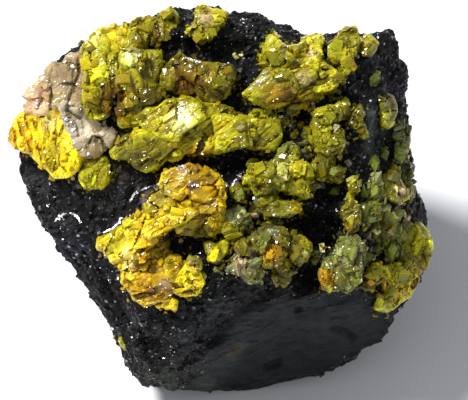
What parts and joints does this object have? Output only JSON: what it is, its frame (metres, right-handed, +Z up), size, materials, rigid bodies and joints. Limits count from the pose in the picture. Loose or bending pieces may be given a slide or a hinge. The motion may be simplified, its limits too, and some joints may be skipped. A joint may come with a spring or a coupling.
{
  "type": "orpiment specimen",
  "caption": "Natural hand specimen of yellow orpiment crystals with a pale calcite vein on dark rock, with a flat foot to rest on.",
  "frame": {"origin": "on the flat underside, below the middle of the crystal-covered face", "axes": "+Z up from the flat underside, +X to the right as seen from the front, +Y to the back; the crystal-covered face looks up and 30 degrees forward, towards -Y"},
  "size_m": [0.0471, 0.0365, 0.037],
  "materials": {
    "rock": "wet, finely sparkling dark rock",
    "orpiment": "resinous, faceted",
    "calcite": "waxy, slightly translucent"
  },
  "bodies": {
    "root": {"matrix": "rock", "calcite_vein": "calcite", "orpiment_upper_left": "orpiment", "orpiment_arch": "orpiment", "orpiment_top": "orpiment", "orpiment_centre": "orpiment", "orpiment_lower_left": "orpiment", "orpiment_heart": "orpiment", "orpiment_upper_right": "orpiment", "orpiment_upper_nub": "orpiment", "orpiment_corner_nub": "orpiment", "orpiment_oval": "orpiment", "orpiment_right_upper": "orpiment", "orpiment_blade": "orpiment", "orpiment_right_centre": "orpiment", "orpiment_small_lit": "orpiment", "orpiment_right_small": "orpiment", "orpiment_small_nub": "orpiment", "orpiment_wedge": "orpiment", "orpiment_middle_grains": "orpiment", "orpiment_lower_centre": "orpiment", "orpiment_low_grains": "orpiment", "orpiment_small_block": "orpiment", "orpiment_lower_right": "orpiment", "orpiment_right_side": "orpiment", "orpiment_right_edge": "orpiment", "orpiment_right_foot": "orpiment", "orpiment_right_pale": "orpiment", "orpiment_right_green": "orpiment", "orpiment_right_grains": "orpiment", "orpiment_right_rim": "orpiment", "orpiment_left": "orpiment", "orpiment_left_small": "orpiment", "orpiment_edge_chip": "orpiment"}
  },
  "joints": []
}
